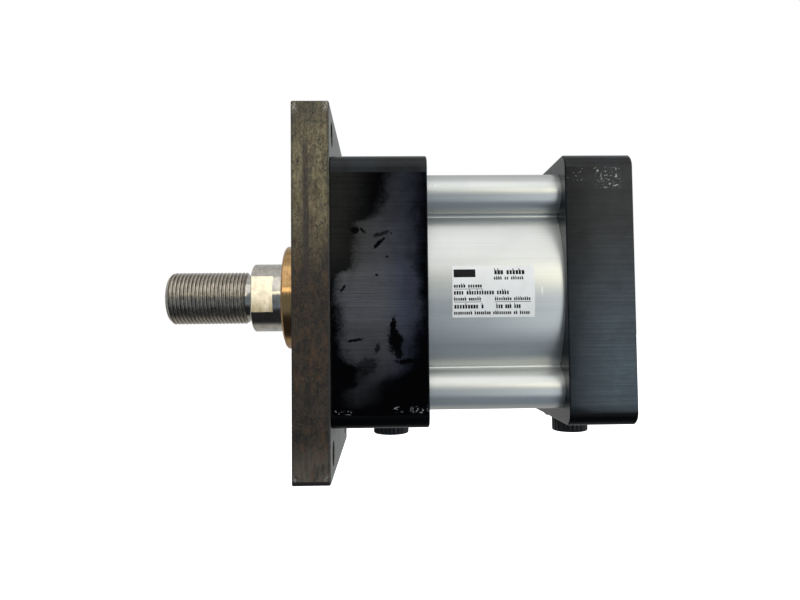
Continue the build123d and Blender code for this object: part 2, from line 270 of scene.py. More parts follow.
head_sheen_gaps = (
    (42.7, -21.1, 3.1, 5.2, 8.0, 1.0),
    (41.7, -15.7, 1.2, 4.6, -6.0, 1.0),
    (43.8, -25.8, 1.7, 2.6, 20.0, 0.9),
    (46.8, -29.3, 3.9, 1.0, 6.0, 1.0),
    (44.8, -26.6, 0.7, 1.0, 0.0, 0.8),
    (26.3, 25.1, 1.9, 1.4, 0.0, 0.95),
    (29.6, 24.8, 1.6, 0.6, -42.0, 0.9),
    (36.1, 19.4, 3.2, 0.8, 42.0, 1.0),
    (37.6, 23.4, 3.4, 0.8, 20.0, 0.7),
    (35.0, 23.0, 1.4, 0.5, 30.0, 0.8),
    (39.6, 13.8, 0.7, 0.5, 0.0, 0.85),
    (35.1, 6.3, 0.7, 0.5, 0.0, 0.9),
    (41.4, 23.6, 0.5, 0.4, 0.0, 0.8),
    (21.3, 0.8, 1.9, 0.6, 52.0, 0.95),
    (26.0, -20.5, 3.2, 0.7, 8.0, 0.95),
    (35.2, -24.0, 1.0, 2.2, -18.0, 0.75),
    (30.6, -31.2, 4.6, 3.2, 24.0, 0.62),
    (25.4, -39.0, 1.8, 1.0, 25.0, 0.85),
)
head_nicks = (
    (40.5, 46.0, -50.6, -47.3, 0.57),
    (48.0, 56.4, -50.8, -47.0, 0.565),
    (15.5, 26.0, -51.2, -48.8, 0.58),
)
cap_nicks = (
    (125.5, 138.5, 41.5, 51.2, 0.58),
    (113.5, 124.0, 44.5, 51.2, 0.63),
)


def head_veil(skin):
    """Painted sheen, a lighter veil standing in for reflected front light, bounded by a wandering line on
    each side, strongest a little below the middle.
    """
    wander = skin.sway(skin.noise(6.0, detail=4.0, rough=0.6, shift=2.0), 8.0)
    stipple = skin.sway(skin.noise(0.9, detail=4.0, rough=0.75, shift=12.0), 7.0)
    wander = skin.plus(wander, stipple)
    from_left = skin.minus(skin.x, skin.course(skin.z, head_veil_left))
    from_right = skin.minus(skin.course(skin.z, head_veil_right), skin.x)
    past_left = skin.ramp(skin.plus(from_left, wander), -3.0, 5.5)
    before_right = skin.ramp(skin.plus(from_right, wander), -3.5, 9.0)
    body = skin.times(past_left, before_right, skin.course(skin.z, head_veil_amount))
    corner = skin.times(skin.ramp(skin.plus(skin.x, wander), 38.0, 18.0), skin.ramp(skin.z, -8.0, 22.0), 0.17)
    return skin.highest(body, corner)


def head_tint(skin):
    """Colour of the painted sheen: neutral grey in the middle, bluer to the right, and olive in the upper
    left corner.
    """
    base = skin.mix(skin.ramp(skin.x, 36.0, 49.0), linear(74, 75, 80), linear(52, 57, 78))
    upper_left = skin.times(skin.ramp(skin.x, 38.0, 20.0), skin.ramp(skin.z, -4.0, 20.0))
    return skin.mix(upper_left, base, linear(78, 77, 70))


def cap_veil(skin):
    """Painted sheen, an even lighter veil standing in for reflected light, stronger towards the lower right
    and gone at the bottom edge.
    """
    across = skin.ramp(skin.x, cap_low.x + 2.0, cap_high.x - 6.0, 0.15, 0.33)
    down = skin.ramp(skin.z, 40.0, -40.0, 0.0, 0.66)
    rightwards = skin.ramp(skin.x, cap_low.x + 4.0, cap_high.x - 8.0, 0.08, 0.9)
    amount = skin.plus(across, skin.times(down, rightwards))
    return skin.times(amount, skin.ramp(skin.z, -52.0, -47.0, 0.25, 1.0))


def cap_tint(skin):
    """Colour of the painted sheen: cool grey at the top, blue-green grey towards the bottom."""
    return skin.mix(skin.ramp(skin.z, 36.0, -30.0), linear(74, 78, 83), linear(78, 90, 98))


def near_face(skin, foot, top):
    """1 on the flat face towards -Y between heights foot and top."""
    level = skin.times(skin.ramp(skin.z, top + 0.3, top - 0.1), skin.ramp(skin.z, foot - 0.3, foot + 0.1))
    return skin.times(skin.ramp(skin.ny, -0.7, -0.9), level)


def milling_marks(skin, seed):
    """Machining marks from 0 to 1: lines along X on the sides, rings on the two end faces."""
    fine_lines = skin.noise((34.0, 0.5, 0.5), detail=2.0, shift=seed)
    broad_lines = skin.noise((70.0, 1.5, 1.5), detail=2.0, shift=seed + 4)
    dashes = skin.noise((3.0, 0.45, 0.45), detail=3.0, rough=0.7, shift=seed + 7)
    lines = skin.blend(0.3, skin.blend(0.25, fine_lines, broad_lines), dashes)
    rings = skin.ramp(skin.math("SINE", skin.times(skin.from_axis(), 9.0)), -1.0, 1.0)
    end_face = skin.ramp(skin.absolute(skin.nx), 0.7, 0.95)
    return skin.blend(end_face, lines, rings)


def sheen_gaps(skin, gap_list, seed):
    """Share of the painted sheen that is left out, in patches with a ragged outline."""
    ragged = skin.sway(skin.noise(1.2, detail=6.0, rough=0.75, shift=seed + 3), 2.6)
    patches = 0.0
    for x, z, half_width, half_height, tilt, share in gap_list:
        across, up = skin.minus(skin.x, x), skin.minus(skin.z, z)
        patch = skin.spot(across, up, half_width, half_height, tilt, 0.26, ragged)
        patches = skin.highest(patches, skin.times(patch, share))
    return patches


def nicked(skin, boxes, seed):
    """1 inside small bare nicks, which are only in the boxes."""
    chips = skin.noise((1.3, 1.3, 0.9), detail=4.0, rough=0.76, shift=seed + 5)
    nicks = 0.0
    for low_x, high_x, low_z, high_z, threshold in boxes:
        inside = skin.times(skin.ramp(skin.x, low_x, low_x + 2), skin.ramp(skin.x, high_x, high_x - 2))
        tall = skin.times(skin.ramp(skin.z, low_z, low_z + 1), skin.ramp(skin.z, high_z, high_z - 1))
        nicks = skin.highest(nicks, skin.times(skin.ramp(chips, threshold, threshold + 0.03), inside, tall))
    return nicks


def black_anodised(name, seed, veil, tint, gap_list, nick_boxes, top_band):
    """Black anodised aluminium: milling marks, a lighter veil of painted sheen with patches left out, and
    small nicks.

    On the near face, veil(skin) gives the painted sheen's amount from 0 to 1 and tint(skin) its colour.
    That face stops top_band mm below the block's top; the rounded edge above it and the other faces get a
    fainter, bluish painted sheen.
    """
    skin = Surface(name, Specular_IOR_Level=0.15)
    foot = foot_band - half_body
    near = near_face(skin, foot, half_body - top_band)
    marks = milling_marks(skin, seed)

    # Painted sheen: haze lightens the black towards the tint on the near face and towards a bluish grey
    # elsewhere.
    cloud = skin.noise(13.0, detail=6.0, rough=0.62, shift=seed + 1, warp=0.7)
    near_haze = skin.times(veil(skin), skin.ramp(cloud, 0.3, 0.65, 0.82, 1.08))
    above_foot = skin.ramp(skin.z, foot - 0.5, foot + 1.5, 0.05, 1.0)
    other_haze = skin.times(skin.ramp(cloud, 0.38, 0.72, 0.05, 0.30), above_foot)
    haze = skin.blend(near, other_haze, near_haze)
    haze = skin.times(haze, skin.minus(1.0, skin.times(sheen_gaps(skin, gap_list, seed), near)))
    base = skin.mix(haze, linear(3, 3, 4), skin.mix(near, linear(50, 61, 71), tint(skin)))
    base = skin.vector("SCALE", base, scale=skin.ramp(marks, 0.34, 0.66, 0.74, 1.22))

    stray = skin.specks(5.0, 0.03, 0.06, shift=seed + 6)
    nicks = skin.highest(skin.times(nicked(skin, nick_boxes, seed), near, 0.95), skin.times(stray, 0.35))
    skin.colour(skin.mix(nicks, base, linear(186, 186, 188)))
    matt = skin.plus(skin.ramp(haze, 0.0, 0.7, 0.22, 0.46), skin.times(marks, 0.08))
    skin.roughness(skin.blend(nicks, matt, 0.5))

    underside = skin.ramp(skin.nz, -0.16, 0.0, 0.02, 0.20)
    other_gloss = skin.plus(underside, skin.ramp(skin.nz, 0.6, 0.95, 0.04, 0.34))
    gloss = skin.blend(near, other_gloss, skin.ramp(haze, 0.0, 0.5, 0.02, 0.26))
    skin.feed(skin.shader.inputs["Specular IOR Level"], gloss)
    skin.bump(marks, 0.012)
    skin.bump(skin.noise(0.5, detail=2.0, shift=seed), 0.005)
    skin.bump(skin.minus(1.0, nicks), 0.03)
    return skin.material


def scale_and_rust(skin, tone, mottle, streak):
    """Colours of the bar's rolled skin: dark below, paler above, stained and rusty, with an upright
    dark streak and a thin dark line across near the top."""
    rust = skin.noise((3.6, 3.6, 8.5), detail=7.0, rough=0.7, shift=21.0, warp=0.6)
    stained = skin.noise((6.0, 6.0, 12.0), detail=6.0, rough=0.66, shift=33.0, warp=0.5)
    scaled = skin.noise((4.5, 4.5, 9.0), detail=7.0, rough=0.74, shift=52.0, warp=0.8)
    upper_share = skin.ramp(skin.z, -half_flange * 0.05, half_flange * 0.62)
    foot_share = skin.ramp(skin.z, -half_flange * 0.74, -half_flange * 0.97)

    lower = skin.mix(skin.ramp(tone, 0.40, 0.60), linear(25, 20, 16), linear(70, 58, 43))
    upper = skin.mix(skin.ramp(tone, 0.39, 0.60), linear(60, 56, 42), linear(152, 140, 108))
    base = skin.mix(upper_share, lower, upper)
    base = skin.mix(skin.times(foot_share, 0.65), base, linear(112, 104, 92))
    base = skin.mix(skin.times(skin.ramp(streak, 0.50, 0.36), 0.45), base, linear(56, 52, 48))
    yellow = skin.times(skin.ramp(stained, 0.52, 0.68), upper_share, 0.45)
    base = skin.mix(yellow, base, linear(138, 124, 78))
    rusty = skin.times(skin.ramp(rust, 0.50, 0.64), skin.blend(upper_share, 0.55, 0.42))
    base = skin.mix(rusty, base, linear(90, 62, 43))
    patches = skin.times(skin.ramp(scaled, 0.50, 0.40), skin.blend(upper_share, 0.62, 0.38))
    base = skin.mix(patches, base, linear(30, 30, 31))

    column_x, line_z = 6.2, 70.5
    wave = skin.sway(mottle, 2.6)
    from_column = skin.absolute(skin.minus(skin.plus(skin.x, wave), column_x))
    column_height = skin.times(skin.ramp(skin.z, 0.0, 8.0), skin.ramp(skin.z, 66.0, 60.0))
    column = skin.times(skin.ramp(from_column, 1.9, 0.6), column_height)
    base = skin.mix(skin.times(column, 0.72), base, linear(52, 44, 44))
    line = skin.edge(skin.plus(skin.z, skin.sway(streak, 5.0)), line_z, 0.8)
    line = skin.times(line, skin.ramp(skin.x, 4.0, 6.0), 0.6)
    base = skin.mix(line, base, linear(46, 48, 38))
    top_share = skin.ramp(skin.plus(skin.z, wave), 66.0, 74.0, 0.0, 0.4)
    return skin.mix(top_share, base, linear(56, 55, 50))


def raw_steel(name):
    """Hot-rolled bar: scale, rust and pits on the sawn sides, a machined face where it meets the head."""
    skin = Surface(name)
    rear = skin.ramp(skin.nx, 0.6, 0.9)
    sawn = skin.ramp(skin.absolute(skin.nx), 0.7, 0.4)
    grain = skin.noise((0.7, 0.7, 1.1), detail=5.0, rough=0.78, shift=1.0)
    mottle = skin.noise((2.6, 2.6, 4.2), detail=7.0, rough=0.72, shift=8.0, warp=0.7)
    streak = skin.noise((1.5, 1.5, 19.0), detail=5.0, rough=0.66, shift=3.0, warp=0.3)
    chip = skin.noise((0.9, 0.9, 1.8), detail=5.0, rough=0.75, shift=14.0)
    tone = skin.plus(skin.times(mottle, 0.5), skin.times(grain, 0.5))
    base = scale_and_rust(skin, tone, mottle, streak)
    pits = skin.specks(1.3, 0.22, 0.30, (1.0, 1.0, 1.2))
    base = skin.mix(skin.times(pits, 0.6), base, linear(30, 27, 25))
    base = skin.mix(skin.ramp(grain, 0.58, 0.8, 0.0, 0.4), base, linear(150, 142, 124))

    # The sawn sides are dark along both rims, have a near-black painted shadow along the foot, and bright
    # chips at the corners.
    away = skin.math("MINIMUM", skin.absolute(skin.x), skin.absolute(skin.minus(skin.x, flange_back)))
    rim = skin.times(skin.ramp(skin.plus(away, skin.sway(mottle, 0.9)), 1.3, 0.4), sawn, 0.75)
    base = skin.mix(rim, base, linear(46, 43, 42))
    # Painted shadow: the bottom chamfer's shade, as near-black colour along the lowest 2 mm of the sawn
    # sides.
    foot = skin.times(skin.ramp(skin.z, 2.0 - half_flange, 1.4 - half_flange), sawn, 0.95)
    base = skin.mix(foot, base, linear(8, 8, 8))
    at_end = skin.ramp(skin.absolute(skin.z), half_flange - 6.5, half_flange - 1.4)
    beside_end = skin.ramp(skin.absolute(skin.nz), 0.8, 0.5)
    corner = skin.times(at_end, skin.minus(1.0, foot), beside_end, skin.ramp(away, 3.6, 0.6), sawn)
    corner_chips = skin.times(corner, skin.ramp(chip, 0.50, 0.58))
    worn_edge = skin.times(skin.ramp(away, 0.35, 0.1), skin.ramp(chip, 0.40, 0.56), sawn, 0.6)
    stray = skin.times(skin.specks(4.0, 0.05, 0.10, (0.5, 1.0, 1.8), 5.0), sawn)
    bright = skin.highest(corner_chips, worn_edge, stray)
    base = skin.mix(skin.times(bright, 0.8), base, linear(196, 192, 184))

    brushed = skin.noise((1.0, 40.0, 0.35), detail=3.0, shift=6.0)
    machined = skin.mix(skin.ramp(brushed, 0.3, 0.7), linear(108, 111, 110), linear(138, 140, 139))
    stain = skin.ramp(skin.noise(13.0, detail=4.0, shift=2.0), 0.5, 0.75, 0.0, 0.45)
    machined = skin.mix(stain, machined, linear(92, 92, 84))
    skin.colour(skin.mix(rear, base, machined))
    skin.feed(skin.shader.inputs["Metallic"], skin.blend(rear, skin.blend(bright, 0.35, 0.95), 0.9))
    sawn_dull = skin.blend(bright, skin.ramp(tone, 0.35, 0.65, 0.48, 0.7), 0.35)
    skin.roughness(skin.blend(rear, sawn_dull, skin.ramp(brushed, 0.2, 0.8, 0.36, 0.5)))
    skin.bump(skin.blend(rear, mottle, brushed), 0.07)
    skin.bump(grain, 0.06)
    skin.bump(skin.minus(1.0, pits), 0.07)
    return skin.material


def clear_anodised(name):
    """Satin aluminium extrusion with die lines along its length and a few scuffs."""
    skin = Surface(name, metallic=0.82)
    fine = skin.noise((120.0, 0.35, 0.35), detail=2.0, shift=2.0)
    broad = skin.noise((260.0, 3.0, 3.0), detail=3.0, shift=5.0)
    cloud = skin.noise(20.0, detail=5.0, rough=0.6, shift=9.0, warp=0.5)
    lines = skin.blend(0.5, fine, broad)
    base = skin.mix(skin.ramp(lines, 0.3, 0.7), linear(192, 194, 192), linear(203, 205, 202))
    base = skin.mix(skin.ramp(cloud, 0.45, 0.72, 0.0, 0.35), base, linear(184, 188, 188))
    long_scuff = skin.specks(7.0, 0.05, 0.045, (2.4, 1.0, 0.35), 3.0)
    cross_scuff = skin.specks(9.0, 0.07, 0.05, (0.28, 1.0, 2.0), 8.0)
    nick_x, nick_z = barrel_start + 48.0, -0.4
    near_side = skin.ramp(skin.ny, 0.0, -0.5)
    nick = skin.times(skin.edge(skin.x, nick_x, 0.5), skin.edge(skin.z, nick_z, 2.8), near_side)
    scuff = skin.highest(long_scuff, cross_scuff, nick)
    skin.colour(skin.mix(skin.times(scuff, 0.8), base, linear(252, 252, 250)))
    satin = skin.plus(skin.ramp(lines, 0.3, 0.7, 0.29, 0.34), skin.times(cloud, 0.05))
    skin.roughness(skin.blend(scuff, satin, 0.5))
    skin.bump(fine, 0.002)
    skin.bump(broad, 0.005)
    return skin.material


def turned_metal(name, light, dark, rough, ring_size, patina=None, patina_amount=0.0):
    """Metal turned about the cylinder axis: fine rings across X and some staining."""
    skin = Surface(name, metallic=1.0)
    travel = skin.plus(skin.x, skin.from_axis())
    ring_place = skin.add("ShaderNodeCombineXYZ", X=skin.times(travel, 1 / ring_size))
    rings = skin.add("ShaderNodeTexNoise", Vector=ring_place.outputs[0], Scale=1.0, Detail=3.0)
    rings = rings.outputs["Fac"]
    cloud = skin.noise(5.0, detail=5.0, rough=0.62, shift=ring_size)
    base = skin.mix(skin.ramp(rings, 0.35, 0.65), dark, light)
    if patina is not None:
        stain = skin.ramp(cloud, 0.46, 0.72, 0.0, patina_amount)
        base = skin.mix(stain, base, patina)
    skin.colour(base)
    skin.roughness(skin.plus(skin.ramp(cloud, 0.3, 0.7, rough, rough + 0.12), skin.times(rings, 0.05)))
    skin.bump(rings, 0.01)
    return skin.material


def rod_steel(name, thread_end, neck_from):
    """Rod steel: browned cut thread with painted shade in its roots, ground neck and flats with painted shade
    low on the near flat, polished running surface.
    """
    skin = Surface(name, metallic=1.0)
    cloud = skin.noise(3.0, detail=6.0, rough=0.65, shift=4.0)
    fine = skin.noise(0.7, detail=4.0, rough=0.7, shift=7.0)
    on_thread = skin.ramp(skin.x, thread_end + 0.3, thread_end - 0.3)
    polished = skin.mix(skin.ramp(cloud, 0.35, 0.65), linear(168, 165, 158), linear(194, 189, 178))
    cut = skin.mix(skin.ramp(cloud, 0.35, 0.65), linear(158, 152, 142), linear(192, 185, 174))
    base = skin.mix(on_thread, polished, cut)
    # Painted shade: the thread's roots are darkened towards brown.
    root = skin.times(skin.ramp(skin.from_axis(), 12.6, 11.7), on_thread)
    base = skin.mix(skin.times(root, 0.15), base, linear(96, 88, 78))
    tint = skin.times(skin.ramp(cloud, 0.55, 0.75), skin.ramp(skin.x, neck_from - 1.0, neck_from + 1.0))
    base = skin.mix(skin.times(tint, 0.25), base, linear(196, 166, 120))
    # Painted shade: where the rod faces -Y, the near flat among them, it darkens in streaks from z 3 mm down
    # to -9 mm, off the thread.
    streaks = skin.noise((1.2, 1.2, 9.0), detail=4.0, rough=0.6, shift=17.0)
    near_flat = skin.ramp(skin.ny, -0.96, -0.99)
    painted_low_shade = skin.times(skin.ramp(skin.z, 3.0, -9.0), near_flat, skin.ramp(streaks, 0.3, 0.65, 0.45, 1.0))
    base = skin.mix(skin.times(painted_low_shade, skin.minus(1.0, on_thread)), base, linear(128, 120, 98))
    skin.colour(base)
    ground = skin.ramp(skin.x, gland_tip - 1.0, gland_tip + 1.0, 0.13, 0.08)
    smooth = skin.plus(ground, skin.times(fine, 0.08))
    threaded = skin.plus(0.22, skin.times(cloud, 0.12))
    skin.roughness(skin.blend(on_thread, smooth, threaded))
    skin.bump(fine, 0.0015)
    skin.bump(skin.noise((0.25, 14.0, 14.0), detail=2.0, shift=1.0), 0.002)
    return skin.material


def moulded_black(name, gloss):
    """Black moulded plastic with a faint texture and dusty high spots."""
    skin = Surface(name, Specular_IOR_Level=0.5)
    cloud = skin.noise(6.0, detail=4.0, shift=3.0)
    grain = skin.noise(0.35, detail=3.0, shift=9.0)
    skin.colour(skin.mix(skin.ramp(cloud, 0.4, 0.75), linear(22, 22, 23), linear(46, 46, 46)))
    skin.roughness(skin.plus(skin.ramp(cloud, 0.3, 0.7, gloss, gloss + 0.15), skin.times(grain, 0.08)))
    skin.bump(grain, 0.02)
    return skin.material


def seal_rubber(name):
    """Matt nitrile rubber."""
    skin = Surface(name, Specular_IOR_Level=0.35)
    cloud = skin.noise(4.0, detail=5.0, shift=2.0)
    skin.colour(skin.mix(cloud, linear(18, 18, 19), linear(40, 40, 41)))
    skin.roughness(skin.ramp(cloud, 0.3, 0.7, 0.55, 0.75))
    skin.bump(skin.noise(0.4, detail=3.0), 0.02)
    return skin.material


def label_paper(name):
    """White coated label stock, very slightly yellowed in patches."""
    skin = Surface(name, Specular_IOR_Level=0.4)
    cloud = skin.noise(7.0, detail=4.0, shift=1.0)
    skin.colour(skin.mix(skin.ramp(cloud, 0.35, 0.75), linear(254, 254, 253), linear(247, 247, 244)))
    skin.roughness(skin.ramp(cloud, 0.3, 0.7, 0.38, 0.5))
    skin.bump(skin.noise(0.6, detail=3.0, shift=5.0), 0.008)
    return skin.material


def label_ink(name):
    """Thermal-printed black with a slightly worn tone."""
    skin = Surface(name, Specular_IOR_Level=0.15)
    worn = skin.noise(0.5, detail=3.0, shift=4.0)
    skin.colour(skin.mix(skin.ramp(worn, 0.5, 0.8), linear(12, 12, 14), linear(48, 48, 50)))
    skin.roughness(skin.ramp(worn, 0.3, 0.7, 0.4, 0.55))
    return skin.material


# ---------------------------------------------------------------- mesh helpers
def new_piece(name, points, faces, material, body, slot, sharp_angle):
    """Mesh object from points in mm, smooth except at creases, riding on a body."""
    mesh = bpy.data.meshes.new(name)
    mesh.from_pydata([Vector(point) * MM for point in points], [], faces)
    mesh.polygons.foreach_set("use_smooth", [True] * len(mesh.polygons))
    mesh.set_sharp_from_angle(angle=math.radians(sharp_angle))
    mesh.materials.append(material)
    mesh.update()
    piece = bpy.data.objects.new(name, mesh)
    bpy.context.scene.collection.objects.link(piece)
    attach(piece, body)
    return piece


def joined_rings(rings, flip):
    """Points and faces of a closed skin through rings of equal length, with a fan at each end."""
    count = len(rings[0])
    points = [point for ring in rings for point in ring]
    faces = []
    for row in range(len(rings) - 1):
        for step in range(count):
            after = (step + 1) % count
            low, high = row * count, (row + 1) * count
            faces.append((low + step, low + after, high + after, high + step))
    for row in (0, len(rings) - 1):
        middle = sum((Vector(point) for point in rings[row]), Vector()) / count
        points.append(tuple(middle))
        hub = len(points) - 1
        for step in range(count):
            after = (step + 1) % count
            edge = (row * count + after, row * count + step, hub)
            faces.append(edge if row == 0 else edge[::-1])
    if flip:
        faces = [face[::-1] for face in faces]
    return points, faces


# ---------------------------------------------------------------- piston rod
thread_pitch = INCH / 14
thread_radius = 1.0 * INCH / 2
thread_depth = 1.08
thread_chamfer = 1.6
thread_runout = 1.4
thread_samples = 28
centre_depth = 2.6
centre_radius = 2.6
rod_tip = rod_low.x
neck_start = rod_tip + 1.625 * INCH
relief_start = neck_start - 3.2
relief_radius = 11.35
neck_radius = 16.67
neck_chamfer = 0.35
flats_half = 1.125 * INCH / 2
flats_end = neck_start + 10.7
flats_tilt = math.radians(-4.6)
neck_end = gland_tip
stud_radius = 0.375 * INCH
rod_steps = 96


def thread_height(share):
    """Profile of one thread turn, from 0 at the rounded root to 1 at the rounded crest."""
    steepness, root_share = 1.5, 0.20
    triangle = 1 - abs(2 * (share % 1.0) - 1)
    height = min(1.0, max(0.0, triangle * steepness - root_share))
    return height * height * (3 - 2 * height)


def rod_angles():
    """Evenly spaced angles about the axis, and one more on each edge of the wrench flats."""
    corner = math.acos(flats_half / neck_radius)
    angles = [TURN * step / rod_steps for step in range(rod_steps)]
    for side in (0.0, math.pi):
        for edge in (-corner, corner):
            angles.append((flats_tilt + side + edge) % TURN)
    return sorted(angles)


def rod_ring(x, radius_at):
    """Points round the rod at x, with the radius that radius_at gives for each angle."""
    ring = []
    for angle in rod_angles():
        radius = radius_at(angle)
        ring.append((x, radius * math.cos(angle), radius * math.sin(angle)))
    return ring


def neck_section(angle):
    """Radius of the neck: round, cut by the two wrench flats."""
    reach = abs(math.cos(angle - flats_tilt))
    return min(neck_radius, flats_half / max(reach, 0.01))


def build_rod(material):
    """Rod in one skin from the tip: centre hole, thread, relief, neck with flats, rod and stud."""
    rings = []

    def plain(x, radius):
        rings.append(rod_ring(x, lambda angle: radius))

    plain(rod_tip + centre_depth, 0.4)
    plain(rod_tip + 0.35, centre_radius)
    plain(rod_tip, centre_radius + 0.3)
    plain(rod_tip, thread_radius - thread_chamfer)
    row_step = thread_pitch / thread_samples
    rows = int((relief_start - rod_tip) / row_step)
    for row in range(1, rows + 1):
        x = rod_tip + row * row_step
        lead = thread_radius - thread_chamfer + (x - rod_tip)
        tail = relief_radius + 0.15 + (relief_start - x) * thread_runout

        def threaded(angle):
            share = x / thread_pitch - angle / TURN
            cut = thread_radius - thread_depth * (1 - thread_height(share))
            return min(cut, lead, tail)

        rings.append(rod_ring(x, threaded))
    plain(relief_start, relief_radius)
    plain(neck_start - 0.9, relief_radius)
    plain(neck_start - 0.45, relief_radius + 0.12)
    plain(neck_start - 0.12, relief_radius + 0.45)
    plain(neck_start, relief_radius + 0.9)
    rings.append(rod_ring(neck_start, lambda angle: neck_section(angle) - neck_chamfer))
    rings.append(rod_ring(neck_start + neck_chamfer, neck_section))
    rings.append(rod_ring(flats_end, neck_section))
    plain(flats_end, neck_radius)
    plain(neck_end, neck_radius)
    plain(neck_end + 0.4, rod_radius)
    plain(piston_start, rod_radius)
    plain(piston_start, stud_radius)
    groove_start, groove_wide, groove_depth = piston_start + 3.0, 3.0, 2.2
    plain(groove_start, stud_radius)
    plain(groove_start, stud_radius - groove_depth)
    plain(groove_start + groove_wide, stud_radius - groove_depth)
    plain(groove_start + groove_wide, stud_radius)
    plain(rod_high.x - 0.5, stud_radius)
    plain(rod_high.x, stud_radius - 0.5)
    points, faces = joined_rings(rings, flip=True)
    piece = new_piece("rod_threaded", points, faces, material, "rod", "polished_steel", sharp_angle=28.0)
    # Inside the thread every edge is smooth, so that its flanks don't look faceted.
    for edge in piece.data.edges:
        first, second = (points[index][0] for index in edge.vertices)
        if rod_tip + thread_chamfer < min(first, second) and max(first, second) < relief_start - 0.3:
            edge.use_edge_sharp = False
    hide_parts("piston_rod")


# ---------------------------------------------------------------- port plugs
plug_pitch = INCH / 14
plug_turn_rows = 10
plug_shank_radius = 10.2
plug_thread_depth = 0.85
plug_rim_thick = 2.4
plug_grip_radius = 8.0
plug_ribs = 24
plug_rib_height = 0.68
plug_steps = plug_ribs * 10
plug_socket_flats = 0.5 * INCH
plug_socket_depth = 7.0


def ribbed(radius, height):
    """Radius at each angle of a round grip with ribs of the given height."""
    def radius_at(angle):
        wave = abs(math.cos(angle * plug_ribs / 2))
        return radius + height * min(1.0, wave * 1.6)
    return radius_at


def hexagon(flats):
    """Radius at each angle of a hexagon, from its width over the flats."""
    def radius_at(angle):
        sector = (angle + math.pi / 6) % (math.pi / 3) - math.pi / 6
        return flats / 2 / math.cos(sector)
    return radius_at


def build_plug(name, node, body, material):
    """Ribbed plastic plug: threaded shank in the port, rim, ribbed grip and hex socket."""
    low, high = span(node)
    centre_x = (low.x + high.x) / 2
    rim_radius = (high.x - low.x) / 2
    face_z = -half_body
    grip_top = face_z - plug_rim_thick
    rings = []

    def ring(z, radius_at):
        row = []
        for step in range(plug_steps):
            angle = TURN * step / plug_steps
            radius = radius_at(angle)
            row.append((centre_x + radius * math.cos(angle), radius * math.sin(angle), z))
        rings.append(row)

    def round_ring(z, radius):
        ring(z, lambda angle: radius)

    round_ring(high.z, plug_shank_radius - 1.2)
    row_step = plug_pitch / plug_turn_rows
    rows = int((high.z - face_z - 1.0) / row_step)
    for row in range(rows):
        z = high.z - row * row_step
        taper = max(0.0, 0.9 - (high.z - z)) * 0.8

        def threaded(angle):
            cut = plug_thread_depth * (1 - thread_height(z / plug_pitch + angle / TURN))
            return plug_shank_radius - cut - taper

        ring(z, threaded)
    round_ring(face_z, plug_shank_radius - 0.8)
    round_ring(face_z, rim_radius - 0.3)
    round_ring(face_z - 0.3, rim_radius)
    round_ring(grip_top + 0.4, rim_radius)
    round_ring(grip_top, rim_radius - 0.4)
    ring(grip_top, ribbed(plug_grip_radius + 0.25, 0.25))
    ring(grip_top - 0.4, ribbed(plug_grip_radius, plug_rib_height))
    ring(low.z + 0.7, ribbed(plug_grip_radius - 0.05, plug_rib_height))
    ring(low.z + 0.2, ribbed(plug_grip_radius - 0.25, 0.5))
    round_ring(low.z, plug_grip_radius - 0.5)
    ring(low.z, hexagon(plug_socket_flats + 0.6))
    ring(low.z + 0.4, hexagon(plug_socket_flats))
    ring(low.z + plug_socket_depth, hexagon(plug_socket_flats - 0.3))
    points, faces = joined_rings(rings, flip=False)
    piece = new_piece(name, points, faces, material, body, "black_plastic", sharp_angle=40.0)
    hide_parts(node)


# ---------------------------------------------------------------- rating label
label_radius = 2.125 * INCH
label_inner = label_radius + 0.02
label_outer = label_radius + 0.20
ink_outer = label_radius + 0.215
label_left, label_right = label_low.x, label_high.x
label_top, label_bottom = label_high.z, label_low.z


def barrel_angle(z):
    """Angle about the axis, from -Y upwards, of height z on the barrel."""
    return math.asin(z / label_radius)


def curved_plate(left, right, bottom, top, inner, outer, rows):
    """Closed box bent round the barrel, split into rows so that it follows the curve."""
    points, faces = [], []
    for row in range(rows + 1):
        angle = barrel_angle(bottom + (top - bottom) * row / rows)
        for radius in (inner, outer):
            for x in (left, right):
                points.append((x, -radius * math.cos(angle), radius * math.sin(angle)))
    for row in range(rows):
        low, high = row * 4, row * 4 + 4
        faces.append((low, high, high + 1, low + 1))
        faces.append((low + 2, low + 3, high + 3, high + 2))
        faces.append((low, low + 2, high + 2, high))
        faces.append((low + 1, high + 1, high + 3, low + 3))
    last = rows * 4
    faces += [(0, 1, 3, 2), (last, last + 2, last + 3, last + 1)]
    return points, faces


